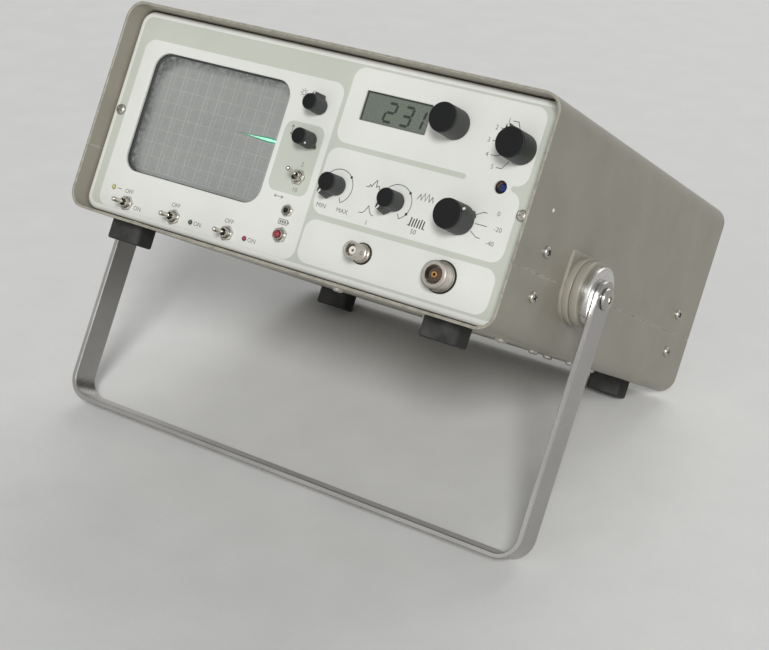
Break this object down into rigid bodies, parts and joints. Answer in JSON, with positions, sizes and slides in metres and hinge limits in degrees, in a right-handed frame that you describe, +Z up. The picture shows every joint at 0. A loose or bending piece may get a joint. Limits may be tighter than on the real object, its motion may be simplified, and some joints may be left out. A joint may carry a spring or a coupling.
{
  "type": "portable spectrum analyzer",
  "caption": "Portable spectrum analyzer: two-cover metal cabinet tilted back on a swinging bail, with a screen, a number readout, knobs, toggles and coaxial jacks on a recessed panel.",
  "frame": {"origin": "on the ground, under the middle of the part's box, with the cabinet leaning back on its bail", "axes": "+X to the right as the user faces the panel, +Y towards the back, +Z up"},
  "size_m": [0.3358, 0.317, 0.2594],
  "materials": {
    "cover_paint": "satin warm grey paint with fine grain",
    "panel_paint": "grey-green enamel with white zones",
    "rail_metal": "plain mill finish",
    "foot_rubber": "matt black",
    "screw_metal": "nickel plated",
    "hub_paint": "satin cream paint",
    "bright_metal": "turned, bright",
    "bail_metal": "brushed and clear anodised",
    "screen_glass": "grey faceplate",
    "filter_glass": "grey filter with ruled lines",
    "yoke_plastic": "varnished winding",
    "black_plastic": "moulded black",
    "clamp_metal": "zinc plated",
    "readout_glass": "grey-green reflective display",
    "knob_plastic": "moulded black, fine matt",
    "shaft_metal": "turned",
    "control_metal": "plated",
    "bright_plate": "bright nickel",
    "button_red": "gloss red",
    "trimmer_blue": "gloss blue",
    "lamp_yellow": "clear yellow",
    "lamp_dark": "unlit green",
    "lamp_red": "red",
    "insulator_white": "white",
    "board_green": "green laminate",
    "tuner_metal": "plain box",
    "core_iron": "varnished core",
    "battery_case": "dark case"
  },
  "bodies": {
    "cabinet": {"top_cover": "cover_paint", "bottom_cover": "cover_paint", "front_panel": "panel_paint", "rear_panel": "cover_paint", "side_rails": "rail_metal", "feet": "foot_rubber", "case_screws": "screw_metal", "bottom_screws": "screw_metal", "hub_bases": "hub_paint", "pivot_bolts": "screw_metal", "crt_tube": "screen_glass", "crt_yoke": "yoke_plastic", "crt_socket": "black_plastic", "crt_clamp": "clamp_metal", "screen_filter": "filter_glass", "lcd_glass": "readout_glass", "lcd_frame": "black_plastic", "pot_bodies": "control_metal", "switch_bodies": "control_metal", "panel_nuts": "bright_plate", "toggle_bodies": "control_metal", "monitor_switch": "control_metal", "zero_trimmer": "trimmer_blue", "power_lamp": "lamp_yellow", "charge_lamp": "lamp_dark", "supply_lamp": "lamp_red", "bnc_jack": "bright_plate", "n_jack": "bright_plate", "jack_insulators": "insulator_white", "main_board": "board_green", "standoffs": "screw_metal", "tuner_box": "tuner_metal", "transformer": "core_iron", "battery_pack": "battery_case", "power_inlet": "black_plastic"},
    "bail": {"moving_hubs": "hub_paint", "bright_discs": "bright_metal", "bail": "bail_metal"},
    "tuning_knob": {"tuning_knob": "knob_plastic", "tuning_shaft": "shaft_metal"},
    "band_knob": {"band_knob": "knob_plastic", "band_shaft": "shaft_metal"},
    "reference_knob": {"reference_knob": "knob_plastic", "reference_shaft": "shaft_metal"},
    "sweep_knob": {"sweep_knob": "knob_plastic", "sweep_shaft": "shaft_metal"},
    "span_knob": {"span_knob": "knob_plastic", "span_shaft": "shaft_metal"},
    "intensity_knob": {"intensity_knob": "knob_plastic", "intensity_shaft": "shaft_metal"},
    "position_knob": {"position_knob": "knob_plastic", "position_shaft": "shaft_metal"},
    "power_toggle": {"power_toggle": "bright_plate"},
    "charge_toggle": {"charge_toggle": "bright_plate"},
    "supply_toggle": {"supply_toggle": "bright_plate"},
    "scale_toggle": {"scale_toggle": "bright_plate"},
    "monitor_button": {"monitor_button": "button_red"},
    "sideways_trimmer": {"sideways_trimmer": "black_plastic"},
    "zero_rotor": {"zero_rotor": "shaft_metal"}
  },
  "joints": [
    {"name": "bail_swing", "type": "hinge", "parent": "cabinet", "child": "bail", "pos_m": [0, -0.06499, 0.13859], "axis": [1, 0, 0], "range_deg": [-228, 70]},
    {"name": "tuning_turn", "type": "hinge", "parent": "cabinet", "child": "tuning_knob", "pos_m": [0.084, -0.09762, 0.23048], "axis": [0, -0.8676, 0.4972], "range_deg": [-1800, 1800]},
    {"name": "band_turn", "type": "hinge", "parent": "cabinet", "child": "band_knob", "pos_m": [0.126, -0.09985, 0.22657], "axis": [0, -0.8676, 0.4972], "range_deg": [0, 120]},
    {"name": "reference_turn", "type": "hinge", "parent": "cabinet", "child": "reference_knob", "pos_m": [0.1036, -0.12158, 0.18865], "axis": [0, -0.8676, 0.4972], "range_deg": [-60, 0]},
    {"name": "sweep_turn", "type": "hinge", "parent": "cabinet", "child": "sweep_knob", "pos_m": [0.0244, -0.12158, 0.18865], "axis": [0, -0.8676, 0.4972], "range_deg": [-300, 0]},
    {"name": "span_turn", "type": "hinge", "parent": "cabinet", "child": "span_knob", "pos_m": [0.06289, -0.12158, 0.18865], "axis": [0, -0.8676, 0.4972], "range_deg": [-300, 0]},
    {"name": "intensity_turn", "type": "hinge", "parent": "cabinet", "child": "intensity_knob", "pos_m": [-0.002, -0.10159, 0.22353], "axis": [0, -0.8676, 0.4972], "range_deg": [-140, 160]},
    {"name": "position_turn", "type": "hinge", "parent": "cabinet", "child": "position_knob", "pos_m": [-0.002, -0.11144, 0.20636], "axis": [0, -0.8676, 0.4972], "range_deg": [-28, 272]},
    {"name": "power_throw", "type": "hinge", "parent": "cabinet", "child": "power_toggle", "pos_m": [-0.1124, -0.14476, 0.15284], "axis": [-1, 0, 0], "range_deg": [-13, 13]},
    {"name": "charge_throw", "type": "hinge", "parent": "cabinet", "child": "charge_toggle", "pos_m": [-0.0765, -0.14476, 0.15284], "axis": [-1, 0, 0], "range_deg": [-13, 13]},
    {"name": "supply_throw", "type": "hinge", "parent": "cabinet", "child": "supply_toggle", "pos_m": [-0.0371, -0.14476, 0.15284], "axis": [-1, 0, 0], "range_deg": [-13, 13]},
    {"name": "scale_throw", "type": "hinge", "parent": "cabinet", "child": "scale_toggle", "pos_m": [-0.002, -0.12409, 0.18891], "axis": [-1, 0, 0], "range_deg": [-26, 0]},
    {"name": "monitor_press", "type": "slide", "parent": "cabinet", "child": "monitor_button", "axis": [0, 0.8676, -0.4972], "range_m": [0, 0.0015], "stiffness_N_per_m": 900},
    {"name": "sideways_adjust", "type": "hinge", "parent": "cabinet", "child": "sideways_trimmer", "pos_m": [-0.002, -0.13192, 0.17061], "axis": [0, -0.8676, 0.4972], "range_deg": [-135, 135]},
    {"name": "zero_adjust", "type": "hinge", "parent": "cabinet", "child": "zero_rotor", "pos_m": [0.1203, -0.11069, 0.20766], "axis": [0, -0.8676, 0.4972], "range_deg": [-135, 135]}
  ]
}
